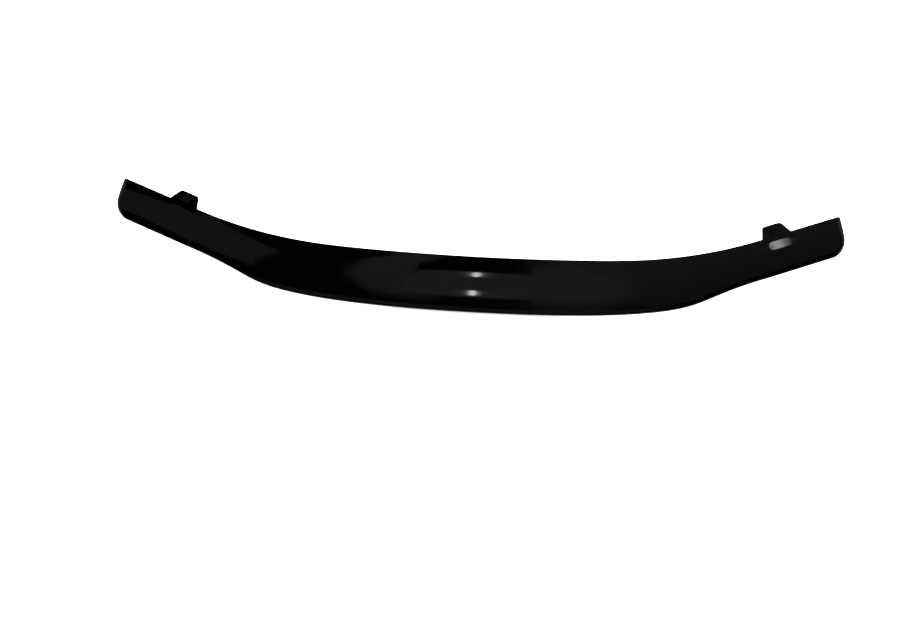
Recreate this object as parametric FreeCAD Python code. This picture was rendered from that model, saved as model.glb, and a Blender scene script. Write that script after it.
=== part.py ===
import FreeCAD, Part
import math
import os

from FreeCAD import Matrix, Placement, Vector

# Hood bug deflector: a one-piece moulded shield, bowed in plan to follow the front edge of a hood, with the
# small rubber and foam pieces that it is mounted with.
# The frame is the one it has on the vehicle: X across to the right as seen from the front, Y rearwards, Z up.
# The origin is the middle of the centre mounting tape's rear face, where the shield seats on the hood's nose.
# Sizes are in millimetres and angles in degrees.

# Shield in plan and in elevation
top_edge_half_width = 674.0
arm_reach = 159.2
arm_angle = 26.0
arm_rise = 0.14
shoulder_radius = 730.0
middle_radius = 2400.0

# Section of the shield
wall = 3.0
lean = 30.0
crown_radius = 140.0
bend_radius = 13.0
flange_depth = 18.0

# Height of the face along the shield, measured on the chord of its section
middle_height = 100.7
knee_height = 94.3
arm_height = 72.0
knee_length = 150.0
knee_earliness = 0.9
knee_to_arm = 12.0

# Shares of the wide arc's half width over which the section stays even and the top edge stays level
even_share = 0.36
level_share = 0.79

# Lofts through even steps
shoulder_steps = 12
tape_steps = 6
loft_degree = 2

# Ends of the arms, which lean out towards the top edge
end_slant = 6.0
lower_corner_radius = 34.0
upper_corner_radius = 8.0

# Mounting ears on the top edge of the arms
ear_to_end = 112.0
ear_base = 60.0
ear_height = 21.8
ear_inner_slant = 9.0
ear_outer_slant = 13.5
ear_inner_corner = 5.0
ear_outer_corner = 10.0

# Oblong landing moulded on the face under each ear
landing_length = 48.0
landing_width = 16.0
landing_drop = 17.0
landing_height = 1.0
landing_chamfer = 0.6

# Rubber bush in each ear, for an M6 screw
screw_clearance_radius = 3.3
bush_neck_radius = 5.5
bush_flange_radius = 8.0
bush_head_height = 2.0
bush_foot_height = 9.0
bush_chamfer = 0.6
bush_drop = 11.8

# Foam mounting tape on the rear of the face
tape_width = 12.0
tape_thickness = 1.2
tape_height = 30.0
side_tape_length = 140.0
side_tape_to_knee = 12.0
tape_spacing = 70.0

# Rubber bumpers on the rear of the face, near its top edge
outer_bumper_to_knee = 22.0
inner_bumper_share = 1 / 3
bumper_radius = 8.0
bumper_height = 7.0
bumper_chamfer = 0.8
bumper_drop = 15.0

# How far a piece that seats on the shield starts inside the wall before the wall is cut from it
seat_overlap = 1.5
tool_margin = 5.0

# Distances from the middle that follow from the sizes above
arm_start = top_edge_half_width - arm_reach
shoulder_sine = math.sin(math.radians(arm_angle))
middle_half_width = (arm_start - shoulder_radius * shoulder_sine) / (1 - shoulder_radius / middle_radius)
even_half_width = even_share * middle_half_width
rise_start = level_share * middle_half_width
knee_end = arm_start - knee_to_arm
knee_start = knee_end - knee_length
side_tape_outer = knee_start - side_tape_to_knee
side_tape_inner = side_tape_outer - side_tape_length
centre_tape_end = side_tape_inner - tape_spacing
outer_bumper = knee_start - outer_bumper_to_knee
inner_bumper = inner_bumper_share * outer_bumper


def plan_depth(x):
    """Depth behind the plan curve's front, and its slope: a wide arc, a shoulder arc and a straight arm."""
    distance = abs(x)
    first = math.asin(middle_half_width / middle_radius)
    last = math.radians(arm_angle)
    middle_depth = middle_radius * (1 - math.cos(first))
    shoulder_depth = middle_depth + shoulder_radius * (math.cos(first) - math.cos(last))
    if distance <= middle_half_width:
        angle = math.asin(distance / middle_radius)
        depth = middle_radius * (1 - math.cos(angle))
    elif distance <= arm_start:
        angle = math.asin((distance - middle_half_width) / shoulder_radius + math.sin(first))
        depth = middle_depth + shoulder_radius * (math.cos(first) - math.cos(angle))
    else:
        angle = last
        depth = shoulder_depth + (distance - arm_start) * math.tan(last)
    return depth, math.copysign(math.tan(angle), x)


def edge_rise(x):
    """Rise of the top edge above its middle, and its slope."""
    run = arm_start - rise_start
    beyond = abs(x) - rise_start
    if beyond <= 0:
        return 0.0, 0.0
    if beyond <= run:
        return arm_rise * beyond ** 2 / (2 * run), math.copysign(arm_rise * beyond / run, x)
    return arm_rise * (beyond - run / 2), math.copysign(arm_rise, x)


def face_height(x):
    """Chord height of the section: even at the middle, less by the knee, then eased down to the arm's."""
    distance = abs(x)
    beyond = max(0.0, distance - even_half_width)
    height = middle_height - (middle_height - knee_height) * (beyond / (knee_start - even_half_width)) ** 2
    if distance <= knee_start:
        return height
    eased = min(1.0, (distance - knee_start) / (knee_end - knee_start)) ** knee_earliness
    return arm_height + (height - arm_height) * (1 + math.cos(math.pi * eased)) / 2


def placed(shape, origin, x_axis, y_axis):
    """A copy of a shape moved from the XYZ axes to an origin and two perpendicular unit axes."""
    z_axis = x_axis.cross(y_axis)
    matrix = Matrix(
        x_axis.x, y_axis.x, z_axis.x, origin.x,
        x_axis.y, y_axis.y, z_axis.y, origin.y,
        x_axis.z, y_axis.z, z_axis.z, origin.z,
        0, 0, 0, 1)
    copy = shape.copy()
    copy.Placement = Placement(matrix).multiply(copy.Placement)
    return copy


def section_axes(x):
    """Axes of the section plane at x: along the shield, level rearwards, and up."""
    depth_slope = plan_depth(x)[1]
    rise_slope = edge_rise(x)[1]
    along = Vector(1, depth_slope, rise_slope).normalize()
    rear = Vector(-depth_slope, 1, 0).normalize()
    return along, rear, along.cross(rear)


def crown_centre(height):
    """Centre of the crown arc in the chord frame, where the chord runs from (0, 0) to (height, 0)."""
    return height / 2, -math.sqrt(crown_radius ** 2 - (height / 2) ** 2)


def top_tilt(height):
    """Angle in radians between the chord and the crown at its top edge."""
    return math.asin(height / 2 / crown_radius)


def chord_frame(x):
    """Origin and axes of the chord at x: from its lower end, along the shield and up the leaning chord."""
    along, rear, up = section_axes(x)
    tilt = math.radians(lean)
    chord = rear * math.sin(tilt) + up * math.cos(tilt)
    top = Vector(x, plan_depth(x)[0], edge_rise(x)[0]) + datum
    return top - chord * face_height(x), along, chord


def on_chord(shape, x):
    """A shape drawn with X along the shield, Y up the chord and Z out of the face, placed at x."""
    return placed(shape, *chord_frame(x))


def on_crown(shape, x, drop):
    """A shape drawn about a point of the outer face, Z out of it, placed a distance drop below the top edge."""
    height = face_height(x)
    angle = top_tilt(height) - drop / crown_radius
    centre_y, centre_z = crown_centre(height)
    point = Vector(0, centre_y + crown_radius * math.sin(angle), centre_z + crown_radius * math.cos(angle))
    tangent = Vector(0, math.cos(angle), -math.sin(angle))
    return on_chord(placed(shape, point, Vector(1, 0, 0), tangent), x)


def seat_offset():
    """Offset of the middle tape's rear face from the middle of the top edge, rearwards and up."""
    height = middle_height
    centre_y, centre_z = crown_centre(height)
    angle = math.asin((tape_height - centre_y) / crown_radius)
    radius = crown_radius - wall - tape_thickness
    y = centre_y + radius * math.sin(angle)
    z = centre_z + radius * math.cos(angle)
    tilt = math.radians(lean)
    rear = (y - height) * math.sin(tilt) - z * math.cos(tilt)
    up = (y - height) * math.cos(tilt) + z * math.sin(tilt)
    return rear, up


def bend_level(height):
    """Level of the bend's centre line over the chord, where it meets the crown and the flange smoothly."""
    centre_y, centre_z = crown_centre(height)
    return centre_z + math.sqrt((crown_radius - bend_radius) ** 2 - (centre_y - bend_radius) ** 2)


def face_line(height, inset):
    """Points of the section at a depth inset under its outer surface, from top edge to flange end."""
    centre_y, centre_z = crown_centre(height)
    radius = crown_radius - inset
    bend = bend_radius - inset
    bend_z = bend_level(height)
    top_angle = top_tilt(height)
    low_angle = math.atan2(bend_radius - centre_y, bend_z - centre_z)
    mid_angle = (top_angle + low_angle) / 2
    bend_angle = (low_angle - math.pi / 2) / 2

    def crown(angle):
        return Vector(0, centre_y + radius * math.sin(angle), centre_z + radius * math.cos(angle))

    bend_middle = Vector(0, bend_radius + bend * math.sin(bend_angle), bend_z + bend * math.cos(bend_angle))
    return [crown(top_angle), crown(mid_angle), crown(low_angle), bend_middle,
            Vector(0, inset, bend_z), Vector(0, inset, -flange_depth)]


def arc(start, middle, end):
    return Part.Arc(start, middle, end).toShape()


def line(start, end):
    return Part.LineSegment(start, end).toShape()


def shield_section(height):
    """Closed outline of the shield's wall: crown, bend and flange."""
    outer = face_line(height, 0)
    inner = face_line(height, wall)
    return Part.Wire([
        arc(outer[0], outer[1], outer[2]),
        arc(outer[2], outer[3], outer[4]),
        line(outer[4], outer[5]),
        line(outer[5], inner[5]),
        line(inner[5], inner[4]),
        arc(inner[4], inner[3], inner[2]),
        arc(inner[2], inner[1], inner[0]),
        line(inner[0], outer[0])])


def shield_even():
    """The middle of the shield: its section turned about the centre of the plan's wide arc."""
    half_angle = math.degrees(math.asin(even_half_width / middle_radius))
    centre = datum + Vector(0, middle_radius, 0)
    section = Part.Face(on_chord(shield_section(middle_height), 0))
    section.rotate(centre, Vector(0, 0, 1), -half_angle)
    return section.revolve(centre, Vector(0, 0, 1), 2 * half_angle)


def lofted(section_at, start, end, steps):
    """Solid through the sections at even steps across, which keep the surface between them from waving."""
    step = (end - start) / steps
    sections = [section_at(start + step * index) for index in range(steps + 1)]
    return Part.makeLoft(sections, True, False, False, loft_degree)


def shield_shoulder():
    """The right shoulder and knee, lofted from the even middle to where the straight arm starts."""

    def section_at(x):
        return on_chord(shield_section(face_height(x)), x)

    return lofted(section_at, even_half_width, arm_start, shoulder_steps)


def arm_block(length, inset):
    """Solid arm end at a depth inset under the face, with its lower corner rounded and front edges bent."""
    height = arm_height
    centre_y, centre_z = crown_centre(height)
    radius = crown_radius - inset
    margin = tool_margin if inset else 0.0
    start = -margin
    back = -flange_depth - margin
    top_angle = top_tilt(height) + margin / crown_radius
    low_angle = math.asin((-tool_margin - centre_y) / radius)
    mid_angle = (top_angle + low_angle) / 2

    def crown(angle):
        return Vector(start, centre_y + radius * math.sin(angle), centre_z + radius * math.cos(angle))

    top = crown(top_angle)
    low = crown(low_angle)
    top_back = Vector(start, top.y - (top.z - back) * math.tan(top_angle), back)
    low_back = Vector(start, low.y, back)
    section = Part.Wire([
        arc(top, crown(mid_angle), low),
        line(low, low_back),
        line(low_back, top_back),
        line(top_back, top)])
    block = Part.Face(section).extrude(Vector(length + tool_margin - start, 0, 0))

    slant = math.radians(end_slant)
    high = height + 2 * tool_margin

    def end_at(y):
        return length - (height - y) * math.tan(slant) - inset / math.cos(slant)

    corners = [
        Vector(start - tool_margin, inset, 0),
        Vector(end_at(inset), inset, 0),
        Vector(end_at(high), high, 0),
        Vector(start - tool_margin, high, 0)]
    outline = rounded_outline(corners, (0, lower_corner_radius - inset, 0, 0))
    outline.translate(Vector(0, 0, back - tool_margin))
    block = block.common(Part.Face(outline).extrude(Vector(0, 0, crown_radius)))
    front = [face for face in block.Faces if is_crown(face, radius)][0]
    edges = []
    for edge in front.Edges:
        middle = edge.valueAt((edge.FirstParameter + edge.LastParameter) / 2)
        if middle.x > start + 1 and middle.y < top.y - 1:
            edges.append(edge)
    return block.makeFillet(bend_radius - inset, edges)


def is_crown(face, radius):
    surface = face.Surface
    return surface.TypeId == "Part::GeomCylinder" and abs(surface.Radius - radius) < 0.01


def upper_corner_tool(length):
    """What is cut off an arm's upper end corner to round it, along the line where top and end meet."""
    tilt = top_tilt(arm_height)
    slant = math.radians(end_slant)
    top_normal = Vector(0, math.cos(tilt), -math.sin(tilt))
    end_normal = Vector(math.cos(slant), -math.sin(slant), 0)
    corner_line = end_normal.cross(top_normal).normalize()
    across = top_normal.cross(corner_line)
    seen_slant = math.asin(math.sin(slant) * math.cos(tilt))
    half = (math.pi / 2 - seen_slant) / 2
    cut_back = upper_corner_radius / math.tan(half)
    top_side = Vector(-cut_back, 0, 0)
    end_side = Vector(-math.sin(seen_slant), -math.cos(seen_slant), 0) * cut_back
    to_centre = (top_side + end_side).normalize()
    nearest = to_centre * (upper_corner_radius / math.sin(half) - upper_corner_radius)
    outline = Part.Wire([
        line(top_side, top_side + Vector(0, tool_margin, 0)),
        line(top_side + Vector(0, tool_margin, 0), Vector(tool_margin, tool_margin, 0)),
        line(Vector(tool_margin, tool_margin, 0), end_side + Vector(tool_margin, 0, 0)),
        line(end_side + Vector(tool_margin, 0, 0), end_side),
        arc(end_side, nearest, top_side)])
    depth = flange_depth + tool_margin
    tool = Part.Face(outline).extrude(Vector(0, 0, 2 * depth))
    tool.translate(Vector(0, 0, -depth))
    return placed(tool, Vector(length, arm_height, 0), across, top_normal)


def shield_arm(length):
    """The straight end of the right arm, with its flange carried round the lower corner and up the end."""
    arm = arm_block(length, 0).cut(arm_block(length, wall))
    return on_chord(arm.cut(upper_corner_tool(length)), arm_start)


def rounded_outline(points, radii):
    """A closed polygon in the XY plane, each corner rounded by its own radius, or sharp where that is 0."""
    edges = []
    ends = []
    count = len(points)
    for index, corner in enumerate(points):
        before = (points[index - 1] - corner).normalize()
        after = (points[(index + 1) % count] - corner).normalize()
        half = before.getAngle(after) / 2
        cut_back = radii[index] / math.tan(half)
        start = corner + before * cut_back
        end = corner + after * cut_back
        if radii[index]:
            to_centre = (before + after).normalize()
            nearest = corner + to_centre * (radii[index] / math.sin(half) - radii[index])
            edges.append(arc(start, nearest, end))
        ends.append((start, end))
    for index in range(count):
        start = ends[index][1]
        end = ends[(index + 1) % count][0]
        if start.distanceToPoint(end) > 1e-6:
            edges.append(line(start, end))
    return Part.Wire(Part.__sortEdges__(edges))


def ear_plate():
    """The ear as a flat plate whose outer face is at Z = 0 and whose root is on the X axis."""
    points = [
        Vector(0, 0, 0),
        Vector(ear_base, 0, 0),
        Vector(ear_base - ear_outer_slant, ear_height, 0),
        Vector(ear_inner_slant, ear_height, 0)]
    outline = rounded_outline(points, (0, 0, ear_outer_corner, ear_inner_corner))
    return Part.Face(outline).extrude(Vector(0, 0, -wall))


def bush_centre(ear_start):
    """The bush's place on the ear: half way along it, a distance bush_drop below its end."""
    middle = (ear_inner_slant + ear_base - ear_outer_slant) / 2
    return Vector(ear_start + middle, ear_height - bush_drop, 0)


def landing():
    """The oblong landing, with a plain flat face and chamfered edges, about the point it stands on."""
    reach = (landing_length - landing_width) / 2
    radius = landing_width / 2
    outline = Part.Wire([
        line(Vector(-reach, -radius, 0), Vector(reach, -radius, 0)),
        arc(Vector(reach, -radius, 0), Vector(reach + radius, 0, 0), Vector(reach, radius, 0)),
        line(Vector(reach, radius, 0), Vector(-reach, radius, 0)),
        arc(Vector(-reach, radius, 0), Vector(-reach - radius, 0, 0), Vector(-reach, -radius, 0))])
    outline.translate(Vector(0, 0, -seat_overlap))
    pad = Part.Face(outline).extrude(Vector(0, 0, seat_overlap + landing_height))
    top = [face for face in pad.Faces if face.CenterOfMass.z > landing_height - 1e-6][0]
    return pad.makeChamfer(landing_chamfer, top.Edges)


def mirrored(shape):
    return shape.mirror(Vector(0, 0, 0), Vector(1, 0, 0))


def shield(length, ear_start):
    """The whole moulding: middle, two shoulders, two arms, two ears with their holes, and two landings."""
    arm = shield_arm(length)
    plate = ear_plate()
    plate.translate(Vector(ear_start, 0, 0))
    arm = arm.fuse(on_crown(plate, arm_start, 0))
    pad = landing()
    pad.translate(Vector(ear_start + ear_base / 2, 0, 0))
    arm = arm.fuse(on_crown(pad, arm_start, landing_drop))
    hole = Part.makeCylinder(bush_neck_radius, wall + 2 * tool_margin)
    hole.translate(bush_centre(ear_start) - Vector(0, 0, wall + tool_margin))
    arm = arm.cut(on_crown(hole, arm_start, 0))
    side = shield_shoulder()
    body = shield_even().fuse([side, mirrored(side), arm, mirrored(arm)])
    return body.removeSplitter()


def ear_bush():
    """Rubber bush about its screw's axis: a head on the ear, a neck through it and a foot below it."""
    head = bush_head_height
    foot = -wall - bush_foot_height
    flange = bush_flange_radius
    chamfer = bush_chamfer
    profile = [
        Vector(screw_clearance_radius, 0, foot),
        Vector(flange, 0, foot),
        Vector(flange, 0, -wall),
        Vector(bush_neck_radius, 0, -wall),
        Vector(bush_neck_radius, 0, 0),
        Vector(flange, 0, 0),
        Vector(flange, 0, head - chamfer),
        Vector(flange - chamfer, 0, head),
        Vector(screw_clearance_radius, 0, head)]
    return Part.Face(Part.makePolygon(profile + profile[:1])).revolve(Vector(0, 0, 0), Vector(0, 0, 1), 360)


def tape(start, end, body):
    """A strip of foam tape on the rear of the face, seated on the wall by cutting the wall from it."""
    outer = crown_radius - wall + seat_overlap
    inner = crown_radius - wall - tape_thickness

    def section_at(x):
        centre_y, centre_z = crown_centre(face_height(x))
        middle = math.asin((tape_height - centre_y) / crown_radius)
        low = middle - tape_width / 2 / crown_radius
        high = middle + tape_width / 2 / crown_radius

        def point(radius, angle):
            return Vector(0, centre_y + radius * math.sin(angle), centre_z + radius * math.cos(angle))

        section = Part.Wire([
            arc(point(outer, low), point(outer, middle), point(outer, high)),
            line(point(outer, high), point(inner, high)),
            line(point(inner, high), point(inner, low)),
            line(point(inner, low), point(outer, low))])
        return on_chord(section, x)

    return lofted(section_at, start, end, tape_steps).cut(body)


def bumper(x, body):
    """A round rubber bumper on the rear of the face, seated on the wall by cutting the wall from it."""
    base = seat_overlap - wall
    tip = -wall - bumper_height
    profile = [
        Vector(0, 0, base),
        Vector(bumper_radius, 0, base),
        Vector(bumper_radius, 0, tip + bumper_chamfer),
        Vector(bumper_radius - bumper_chamfer, 0, tip),
        Vector(0, 0, tip)]
    block = Part.Face(Part.makePolygon(profile + profile[:1])).revolve(Vector(0, 0, 0), Vector(0, 0, 1), 360)
    return on_crown(block, x, bumper_drop).cut(body)


rear_offset, up_offset = seat_offset()
datum = Vector(0, -rear_offset, -up_offset)

arm_length = arm_reach / section_axes(arm_start)[0].x
ear_start = arm_length - ear_to_end - ear_base

body = shield(arm_length, ear_start)
bush = ear_bush()
bush.translate(bush_centre(ear_start))
right_bush = on_crown(bush, arm_start, 0)

parts = {
    "hood_shield": body,
    "ear_bush_right": right_bush,
    "ear_bush_left": mirrored(right_bush),
    "mounting_tape_centre": tape(-centre_tape_end, centre_tape_end, body),
    "mounting_tape_right": tape(side_tape_inner, side_tape_outer, body),
    "mounting_tape_left": tape(-side_tape_outer, -side_tape_inner, body),
}
places = (-outer_bumper, -inner_bumper, inner_bumper, outer_bumper)
parts["rubber_bumpers"] = Part.Compound([bumper(x, body).Solids[0] for x in places])

os.makedirs("parts", exist_ok=True)
for name, shape in parts.items():
    solids = shape.Solids
    print(name, "solids", len(solids), "valid", shape.isValid(), "volume", round(shape.Volume, 1))
    solid = solids[0] if len(solids) == 1 else shape
    solid.exportStep(f"parts/{name}.step")
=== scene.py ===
import math

import bpy
from mathutils import Matrix, Vector


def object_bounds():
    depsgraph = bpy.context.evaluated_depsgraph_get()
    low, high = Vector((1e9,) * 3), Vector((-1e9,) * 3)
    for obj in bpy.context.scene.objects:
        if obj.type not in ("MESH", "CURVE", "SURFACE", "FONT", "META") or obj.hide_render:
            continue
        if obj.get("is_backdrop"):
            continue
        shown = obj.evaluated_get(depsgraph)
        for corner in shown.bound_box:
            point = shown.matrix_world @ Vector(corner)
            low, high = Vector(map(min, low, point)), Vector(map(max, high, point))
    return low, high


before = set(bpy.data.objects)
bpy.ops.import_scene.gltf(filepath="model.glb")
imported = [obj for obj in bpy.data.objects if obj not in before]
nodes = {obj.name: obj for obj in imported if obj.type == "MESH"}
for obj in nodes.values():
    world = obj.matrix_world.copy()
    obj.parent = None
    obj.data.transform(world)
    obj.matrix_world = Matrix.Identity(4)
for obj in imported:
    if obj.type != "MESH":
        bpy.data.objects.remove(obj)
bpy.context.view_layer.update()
print("frame loaded:", len(nodes), "nodes")


class Sock:
    # one shader output; plain arithmetic on it adds Math nodes
    def __init__(self, tree, link):
        self.tree = tree
        self.link = link

    def math(self, operation, first, second):
        node = self.tree.nodes.new("ShaderNodeMath")
        node.operation = operation
        for socket, item in zip(node.inputs, (first, second)):
            if isinstance(item, Sock):
                self.tree.links.new(item.link, socket)
            else:
                socket.default_value = item
        return Sock(self.tree, node.outputs[0])

    def __add__(self, other):
        return self.math("ADD", self, other)

    def __radd__(self, other):
        return self.math("ADD", other, self)

    def __sub__(self, other):
        return self.math("SUBTRACT", self, other)

    def __rsub__(self, other):
        return self.math("SUBTRACT", other, self)

    def __mul__(self, other):
        return self.math("MULTIPLY", self, other)

    def __rmul__(self, other):
        return self.math("MULTIPLY", other, self)

    def __pow__(self, other):
        return self.math("POWER", self, other)

    def __rpow__(self, other):
        return self.math("POWER", other, self)


class Shader:
    # a new material; node adds any node but the Math ones, the rest are shorthands for it
    surfaceSockets = {
        "colour": "Base Color",
        "roughness": "Roughness",
        "ior": "IOR",
        "specular": "Specular IOR Level",
        "normal": "Normal",
        "alpha": "Alpha",
        "glow": "Emission Color",
        "glowStrength": "Emission Strength",
    }
    mixColours = (6, 7)  # a Mix node's two colour inputs
    mixResult = 2        # and its colour output

    def __init__(self, name):
        self.material = bpy.data.materials.new(name)
        self.material.use_nodes = True
        self.tree = self.material.node_tree
        self.surface = self.tree.nodes["Principled BSDF"]

    def put(self, socket, item):
        if isinstance(item, Sock):
            self.tree.links.new(item.link, socket)
        else:
            socket.default_value = item

    def node(self, kind, settings=None, output=0, **values):
        node = self.tree.nodes.new("ShaderNode" + kind)
        for key, value in (settings or {}).items():
            setattr(node, key, value)
        for key, value in values.items():
            self.put(node.inputs[key], value)
        return Sock(self.tree, node.outputs[output])

    def place(self):
        return self.node("TexCoord", output="Object")

    def noise(self, place, look):
        return self.node("TexNoise", Vector=place, **look)

    def bump(self, height):
        return self.node("Bump", Height=height, Strength=1.0, Distance=1.0)  # height in metres

    def mix(self, factor, first, second):
        colour = self.node("Mix", {"data_type": "RGBA"}, output=self.mixResult, Factor=factor)
        for index, item in zip(self.mixColours, (first, second)):
            self.put(colour.link.node.inputs[index], item)
        return colour

    def set(self, **values):
        for key, value in values.items():
            self.put(self.surface.inputs[self.surfaceSockets[key]], value)
        return self.material


def grey(level):
    return (level, level, level, 1.0)


def around(middle, pattern, swing):
    return middle + (pattern - 0.5) * swing  # the pattern runs from 0 to 1


# Black acrylic: deep base, a slow ripple from the mould and a trace of handling haze
acrylicLook = {
    "base": (0.0001, 0.0001, 0.00015, 1.0),
    "haze": (0.0005, 0.0005, 0.0006, 1.0),
    "cloud": {"Scale": 5.0, "Detail": 4.0, "Roughness": 0.55},   # where the haze lies
    "smear": {"Scale": 23.0, "Detail": 3.0, "Roughness": 0.6},   # where the gloss is a little duller
    "roughness": 0.054,
    "roughnessSwing": 0.014,
    "ior": 1.49,
    "ripple": {"Scale": 9.0, "Detail": 1.0},
    "rippleDepth": 0.00006,
    "grain": {"Scale": 700.0, "Detail": 2.0},
    "grainDepth": 0.0000015,
}


def acrylicMaterial(look):
    shader = Shader("glossAcrylic")
    place = shader.place()
    colour = shader.mix(shader.noise(place, look["cloud"]), look["base"], look["haze"])
    roughness = around(look["roughness"], shader.noise(place, look["smear"]), look["roughnessSwing"])
    ripple = shader.noise(place, look["ripple"])
    grain = shader.noise(place, look["grain"])
    normal = shader.bump(ripple * look["rippleDepth"] + grain * look["grainDepth"])
    return shader.set(colour=colour, roughness=roughness, ior=look["ior"], normal=normal)


# Rubber of the bushes and bumpers: matt, with a fine moulded skin
rubberLook = {
    "base": (0.0005, 0.0005, 0.0005, 1.0),
    "bloom": (0.0016, 0.0016, 0.0017, 1.0),
    "cloud": {"Scale": 60.0, "Detail": 5.0},
    "roughness": 0.62,
    "roughnessSwing": 0.15,
    "specular": 0.14,
    "skin": {"Scale": 900.0, "Detail": 3.0},
    "skinDepth": 0.00002,
}


def rubberMaterial(look):
    shader = Shader("blackRubber")
    place = shader.place()
    cloud = shader.noise(place, look["cloud"])
    colour = shader.mix(cloud, look["base"], look["bloom"])
    roughness = around(look["roughness"], cloud, look["roughnessSwing"])
    normal = shader.bump(shader.noise(place, look["skin"]) * look["skinDepth"])
    return shader.set(colour=colour, roughness=roughness, specular=look["specular"], normal=normal)


# Foam mounting tape: matt and dark, with fine closed cells
foamLook = {
    "base": (0.022, 0.022, 0.023, 1.0),
    "cell": (0.060, 0.060, 0.062, 1.0),
    "cloud": {"Scale": 45.0, "Detail": 3.0},
    "cloudShare": 0.6,
    "cells": {"Scale": 1400.0},
    "cellShare": 0.4,
    "cellDepth": 0.00012,
    "roughness": 0.85,
    "roughnessSwing": 0.1,
}


def foamMaterial(look):
    shader = Shader("foamTape")
    place = shader.place()
    cells = shader.node("TexVoronoi", Vector=place, **look["cells"])
    cloud = shader.noise(place, look["cloud"])
    pattern = cloud * look["cloudShare"] + cells * look["cellShare"]
    colour = shader.mix(pattern, look["base"], look["cell"])
    roughness = around(look["roughness"], cloud, look["roughnessSwing"])
    normal = shader.bump(cells * look["cellDepth"])
    return shader.set(colour=colour, roughness=roughness, normal=normal)


rubber = rubberMaterial(rubberLook)
finishes = {
    "hood_shield": acrylicMaterial(acrylicLook),
    "ear_bush": rubber,
    "rubber_bumper": rubber,
    "mounting_tape": foamMaterial(foamLook),
}
for name, obj in nodes.items():
    finish = next(finishes[key] for key in finishes if name.startswith(key))
    obj.data.materials.clear()
    obj.data.materials.append(finish)
print("finishes given to", len(nodes), "nodes")


# Floor: one wide pale sheet under the part; its glow lifts the part's shadow
floorLook = {
    "size": 14.0,
    "colour": grey(0.91),
    "cloud": {"Scale": 1.5, "Detail": 2.0},
    "roughness": 0.9,
    "roughnessSwing": 0.05,
    "glow": 0.6,
}


def addFloor(look):
    half = look["size"] / 2
    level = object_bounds()[0][2]
    corners = [(-half, -half, level), (half, -half, level), (half, half, level), (-half, half, level)]
    mesh = bpy.data.meshes.new("studioFloor")
    mesh.from_pydata(corners, [], [(0, 1, 2, 3)])
    floor = bpy.data.objects.new("studioFloor", mesh)
    bpy.context.scene.collection.objects.link(floor)
    shader = Shader("paleFloor")
    cloud = shader.noise(shader.place(), look["cloud"])
    mesh.materials.append(shader.set(
        colour=look["colour"], roughness=around(look["roughness"], cloud, look["roughnessSwing"]),
        glow=grey(1.0), glowStrength=look["glow"]))
    floor.visible_glossy = False
    floor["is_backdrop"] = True


addFloor(floorLook)
print("floor laid")


# Surround: even and white for the floor and the background; the gloss doesn't see it
surroundLook = {"colour": grey(1.0), "strength": 2.6}

# Lamps: two narrow ovals over the front, a small one for the right ear and a wide faint one above;
# angles in degrees as seen from the part, distance in metres
lampLooks = {
    "lampUpper": {"azimuth": -1.45, "elevation": 45.9, "width": 0.85, "height": 7.6,
                  "distance": 8.0, "radiance": 18.0},
    "lampLower": {"azimuth": -1.45, "elevation": 18.0, "width": 0.85, "height": 8.4,
                  "distance": 8.0, "radiance": 18.5},
    "lampEar": {"azimuth": 59.6, "elevation": 37.7, "width": 0.55, "height": 1.3,
                "distance": 8.4, "radiance": 11.0},
    "lampTop": {"azimuth": 150.0, "elevation": 86.0, "width": 34.0, "height": 12.0,
                "distance": 8.0, "radiance": 0.6},
}

# Soft cards that only the gloss sees, each a step farther out than the last. What every card has,
# unless its own line says otherwise: lean is degrees across for one up, corner squares the outline
# (an odd one fades only towards the upper right), foot is the share of light at the lower edge
cardLook = {"distance": 12.0, "step": 0.05, "columns": 16, "rows": 12,
            "lean": 0.0, "corner": 4.0, "foot": 1.0}

# Softness is the faded share of a card's reach
cardLooks = {
    "cardMiddle": {"azimuth": -1.5, "elevation": 30.7, "width": 21.0, "height": 43.0,
                   "softness": 0.2, "radiance": 0.235},
    "cardMiddleTop": {"azimuth": -15.5, "elevation": 65.0, "width": 10.0, "height": 26.0,
                      "softness": 0.35, "radiance": 0.19},
    "cardMiddleLeft": {"azimuth": -14.7, "elevation": 38.0, "width": 12.4, "height": 76.0,
                       "softness": 0.3, "radiance": 0.2, "lean": -0.17, "foot": 0.75},
    "cardMiddleRight": {"azimuth": 12.3, "elevation": 33.0, "width": 18.6, "height": 92.0,
                        "softness": 0.62, "radiance": 0.235, "lean": 0.05, "foot": 0.75},
    "cardRight": {"azimuth": 41.5, "elevation": 38.0, "width": 57.0, "height": 80.0,
                  "softness": 0.14, "radiance": 0.17, "corner": 6.0, "foot": 0.45},
    "cardLeft": {"azimuth": -51.5, "elevation": 29.0, "width": 28.0, "height": 37.0,
                 "softness": 0.22, "radiance": 0.135, "lean": 0.25, "corner": 5.0},
    "cardLow": {"azimuth": -8.0, "elevation": -36.0, "width": 110.0, "height": 50.0,
                "softness": 0.4, "radiance": 0.13},
    "cardRightEnd": {"azimuth": 122.0, "elevation": 14.0, "width": 96.0, "height": 104.0,
                     "softness": 0.12, "radiance": 0.5, "corner": 6.0, "foot": 0.5},
    "cardLeftEnd": {"azimuth": -119.0, "elevation": 14.0, "width": 98.0, "height": 104.0,
                    "softness": 0.12, "radiance": 0.4, "corner": 6.0, "foot": 0.5},
    "cardRear": {"azimuth": 182.0, "elevation": 40.0, "width": 40.0, "height": 60.0,
                 "softness": 0.4, "radiance": 0.6, "foot": 0.4},
    "cardUnder": {"azimuth": 180.0, "elevation": -66.0, "width": 170.0, "height": 44.0,
                  "softness": 0.5, "radiance": 0.9, "foot": 0.5},
}
studioAim = Vector((0.0, 0.06, 0.03))  # the middle of the part


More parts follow.
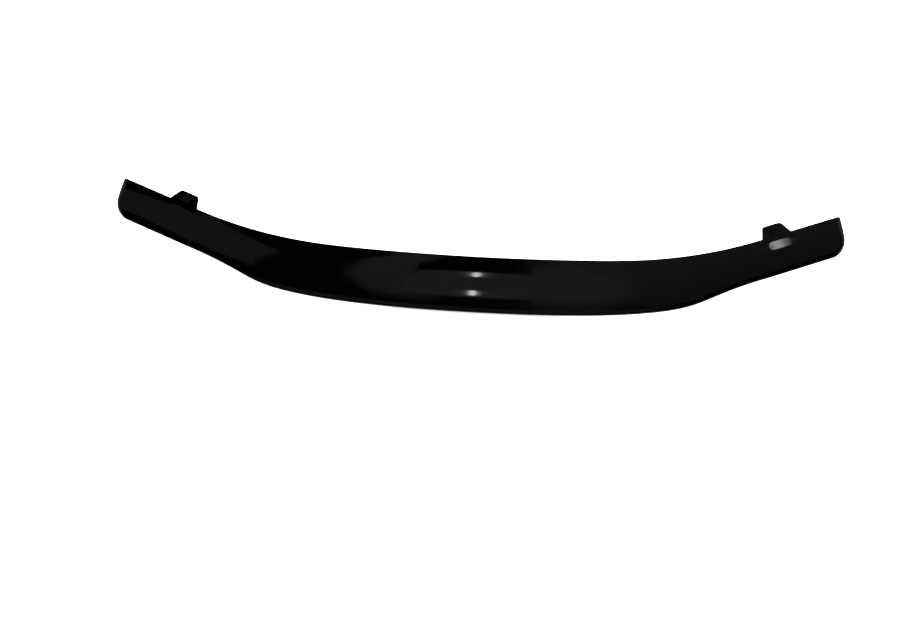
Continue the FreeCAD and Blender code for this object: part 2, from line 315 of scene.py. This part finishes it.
def direction(azimuth, elevation):
    azimuth = math.radians(azimuth)
    elevation = math.radians(elevation)
    level = math.cos(elevation)
    return Vector((math.sin(azimuth) * level, -math.cos(azimuth) * level, math.sin(elevation)))


def spread(angle, distance):
    return 2 * distance * math.tan(math.radians(angle) / 2)


def addSurround(look):
    world = bpy.data.worlds.new("paleSurround")
    bpy.context.scene.world = world
    world.use_nodes = True
    background = world.node_tree.nodes["Background"]
    background.inputs["Color"].default_value = look["colour"]
    background.inputs["Strength"].default_value = look["strength"]
    world.cycles_visibility.glossy = False


def addLamp(name, look):
    toLamp = direction(look["azimuth"], look["elevation"])
    data = bpy.data.lights.new(name, "AREA")
    data.shape = "ELLIPSE"
    data.size = spread(look["width"], look["distance"])
    data.size_y = spread(look["height"], look["distance"])
    data.energy = look["radiance"] * math.pi * data.size * data.size_y * math.pi / 4
    lamp = bpy.data.objects.new(name, data)
    lamp.location = studioAim + toLamp * look["distance"]
    lamp.rotation_euler = toLamp.to_track_quat("Z", "Y").to_euler()
    lamp.visible_camera = False
    bpy.context.scene.collection.objects.link(lamp)


def cardMaterial(name, look):
    shader = Shader(name)
    spot = shader.node("TexCoord", output="UV")
    across = shader.node("SeparateXYZ", output="X", Vector=spot)
    along = shader.node("SeparateXYZ", output="Y", Vector=spot)
    reach = (across * 2.0 - 1.0) ** look["corner"] + (along * 2.0 - 1.0) ** look["corner"]
    fadeRange = {"From Min": 1.0 - look["softness"], "From Max": 1.0, "To Min": 1.0, "To Max": 0.0}
    fade = shader.node("MapRange", {"interpolation_type": "SMOOTHSTEP"},
                       Value=reach ** (1.0 / look["corner"]), **fadeRange)
    glow = shader.mix(along, grey(look["foot"]), grey(1.0))
    return shader.set(colour=grey(0.0), roughness=1.0, specular=0.0,
                      glow=glow, glowStrength=look["radiance"], alpha=fade)


def addCard(name, look, order):
    columns = look["columns"]
    rows = look["rows"]
    distance = look["distance"] + order * look["step"]
    points = []
    marks = []
    for row in range(rows + 1):
        for column in range(columns + 1):
            u = column / columns
            v = row / rows
            rise = (v - 0.5) * look["height"]
            azimuth = look["azimuth"] + (u - 0.5) * look["width"] + look["lean"] * rise
            points.append(studioAim + direction(azimuth, look["elevation"] + rise) * distance)
            marks.append((u, v))
    faces = []
    for row in range(rows):
        for column in range(columns):
            corner = row * (columns + 1) + column
            faces.append((corner, corner + 1, corner + columns + 2, corner + columns + 1))
    mesh = bpy.data.meshes.new(name)
    mesh.from_pydata(points, [], faces)
    uvMap = mesh.uv_layers.new(name="card")
    for loop in mesh.loops:
        uvMap.data[loop.index].uv = marks[loop.vertex_index]
    mesh.materials.append(cardMaterial(name, look))
    card = bpy.data.objects.new(name, mesh)
    bpy.context.scene.collection.objects.link(card)
    card.visible_camera = False
    card.visible_diffuse = False
    card.visible_shadow = False
    card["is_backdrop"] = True


addSurround(surroundLook)
for name, look in lampLooks.items():
    addLamp(name, look)
for order, (name, look) in enumerate(cardLooks.items()):
    addCard(name, {**cardLook, **look}, order)
print("studio lit with", len(lampLooks), "lamps and", len(cardLooks), "cards")


# Camera: the photograph's viewing angle; angles in degrees, focal length, frame and centre in pixels
cameraLook = {
    "target": (0.0, 0.0601, 0.0302),
    "distance": 3.0,
    "elevation": 28.0,
    "turn": 1.321,
    "roll": 2.518,
    "sensorWidth": 36.0,
    "focalPixels": 1653.1,
    "frameWidth": 920,
    "frameHeight": 631,
    "centreColumn": 476.03,
    "centreRow": 264.95,
}


def addCamera(look):
    elevation = math.radians(look["elevation"])
    turn = math.radians(look["turn"])
    roll = math.radians(look["roll"])
    width = look["frameWidth"]
    height = look["frameHeight"]
    forward = Vector((-math.sin(turn) * math.cos(elevation),
                      math.cos(turn) * math.cos(elevation),
                      -math.sin(elevation)))
    level = Vector((math.cos(turn), math.sin(turn), 0.0))
    upright = level.cross(forward)
    right = level * math.cos(roll) + upright * math.sin(roll)
    up = upright * math.cos(roll) - level * math.sin(roll)
    data = bpy.data.cameras.new("camera")
    data.sensor_width = look["sensorWidth"]
    data.lens = look["focalPixels"] * data.sensor_width / width
    data.shift_x = (width / 2 - look["centreColumn"]) / width
    data.shift_y = (look["centreRow"] - height / 2) / width
    camera = bpy.data.objects.new("camera", data)
    axes = Matrix((right, up, -forward)).transposed().to_4x4()
    axes.translation = Vector(look["target"]) - forward * look["distance"]
    camera.matrix_world = axes
    bpy.context.scene.collection.objects.link(camera)
    bpy.context.scene.camera = camera


addCamera(cameraLook)
bpy.context.scene.view_settings.view_transform = "Standard"
print("camera placed")
